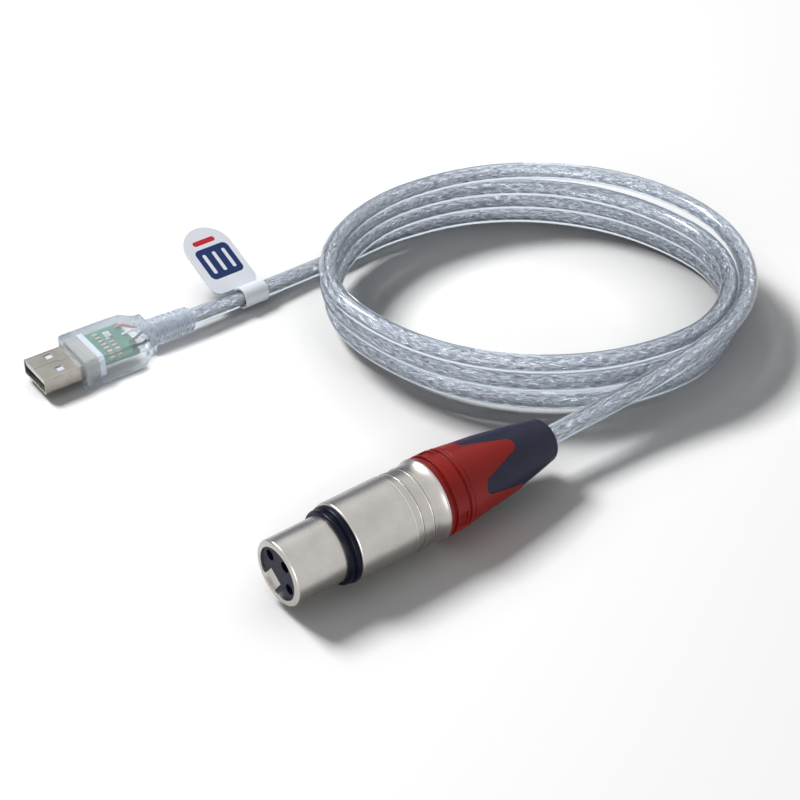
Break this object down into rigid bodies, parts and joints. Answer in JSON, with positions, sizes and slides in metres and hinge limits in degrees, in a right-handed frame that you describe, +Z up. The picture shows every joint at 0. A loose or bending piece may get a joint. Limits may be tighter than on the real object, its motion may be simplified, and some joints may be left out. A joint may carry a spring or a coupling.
{
  "type": "usb dmx interface",
  "caption": "Cable adapter: flat computer plug with a circuit board in a clear case, coiled clear braided cable with a tag, and a round latching three-pole socket with a screwed red gland.",
  "frame": {"origin": "centre of the round socket's mating rim, on the socket's axis", "axes": "+X from the mating rim toward the socket's cable, +Y from the socket toward the flat plug, +Z up from the surface that the object lies on"},
  "size_m": [0.1788, 0.1363, 0.0222],
  "materials": {
    "nickel": "satin nickel plate",
    "seal_rubber": "satin black rubber",
    "insert_plastic": "fine matte black",
    "contact_metal": "silver-plated",
    "latch_steel": "satin",
    "spring_steel": "plain",
    "chuck_plastic": "matte",
    "red_plastic": "semi-gloss red",
    "boot_rubber": "satin dark grey",
    "core_red": "gloss",
    "core_white": "gloss",
    "core_black": "gloss",
    "clear_cable": "clear jacket over a silver braid",
    "plug_steel": "bright nickel plate",
    "white_plastic": "matte white",
    "gold_strip": "gold-plated",
    "clear_plastic": "clear, gloss",
    "clear_relief": "clear, satin",
    "board_green": "solder resist",
    "chip_black": "matte",
    "part_beige": "matte",
    "crystal_metal": "satin can",
    "tag_plastic": "satin white film"
  },
  "bodies": {
    "interface": {"connector_shell": "nickel", "nose_seal": "seal_rubber", "contact_insert": "insert_plastic", "contact_1": "contact_metal", "contact_2": "contact_metal", "contact_3": "contact_metal", "latch_pin": "spring_steel", "latch_spring": "spring_steel", "socket_core_black": "core_black", "socket_core_white": "core_white", "socket_core_red": "core_red", "cable_coil": "clear_cable", "cable_usb_end": "clear_cable", "cable_xlr_end": "clear_cable", "usb_shell": "plug_steel", "usb_tongue": "white_plastic", "usb_contact_strips": "gold_strip", "contact_carrier": "white_plastic", "case_top": "clear_plastic", "case_bottom": "clear_plastic", "strain_relief": "clear_relief", "circuit_board": "board_green", "controller_chip": "chip_black", "line_driver_chip": "chip_black", "crystal": "crystal_metal", "chip_parts": "part_beige", "board_wire_black": "core_black", "board_wire_white": "core_white", "board_wire_red": "core_red"},
    "latch": {"latch_lever": "latch_steel"},
    "clamp": {"cable_chuck": "chuck_plastic"},
    "gland": {"gland_nut": "red_plastic", "gland_boot": "boot_rubber"},
    "tag": {"tag_ring": "tag_plastic", "tag_flag": "tag_plastic"}
  },
  "joints": [
    {"name": "latch_pivot", "type": "hinge", "parent": "interface", "child": "latch", "pos_m": [0.03, 0.00312, -0.00429], "axis": [0, 0.809, 0.5878], "range_deg": [0, 3], "stiffness_Nm_per_rad": 0.2, "springref_deg": -5.73},
    {"name": "gland_travel", "type": "slide", "parent": "interface", "child": "clamp", "axis": [1, 0, 0], "range_m": [0, 0.0024]},
    {"name": "gland_turn", "type": "hinge", "parent": "clamp", "child": "gland", "pos_m": [0.045, 0, 0], "axis": [1, 0, 0], "range_deg": [0, 720]},
    {"name": "tag_swivel", "type": "hinge", "parent": "interface", "child": "tag", "pos_m": [0.0629, 0.10363, -0.00637], "axis": [0.9971, 0.0589, -0.0476], "range_deg": [-26, 100]}
  ],
  "couplings": [
    {"joint": "gland_turn", "follows": "gland_travel", "rad_per_m": 5236}
  ]
}
